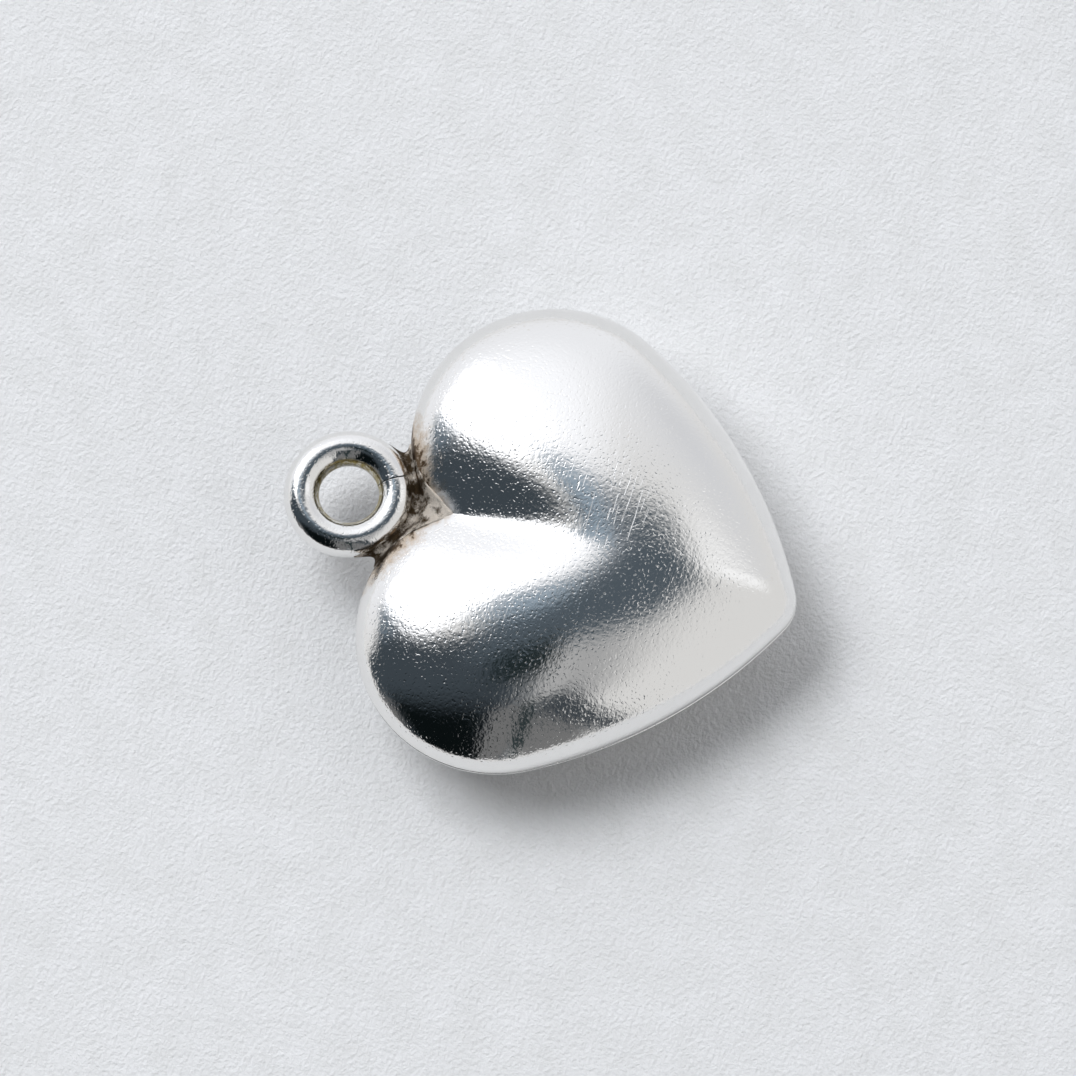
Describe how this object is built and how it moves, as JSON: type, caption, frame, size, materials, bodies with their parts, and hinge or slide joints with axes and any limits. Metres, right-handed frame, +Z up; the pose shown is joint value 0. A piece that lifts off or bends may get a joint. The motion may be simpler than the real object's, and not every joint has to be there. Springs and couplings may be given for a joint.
{
  "type": "heart pendant",
  "caption": "Hollow puffed silver heart pendant of two domed halves soldered at a seam, with a wire hanging ring soldered in the notch between the lobes.",
  "frame": {"origin": "under the middle of the pendant, level with the lowest point of its back, as it lies on its back", "axes": "+X across the lobes, +Y from the tip towards the hanging ring, +Z up through the front, with the seam level"},
  "size_m": [0.0196, 0.0212, 0.006],
  "materials": {
    "polished_silver": "tumble-polished silver with a fine grain",
    "silver_solder": "satin solder line",
    "tarnished_solder": "dark brown tarnish over rough solder"
  },
  "bodies": {
    "root": {"front_shell": "polished_silver", "back_shell": "polished_silver", "seam_solder": "silver_solder", "hanging_ring": "polished_silver", "ring_butt_solder": "silver_solder", "notch_solder": "tarnished_solder"}
  },
  "joints": []
}
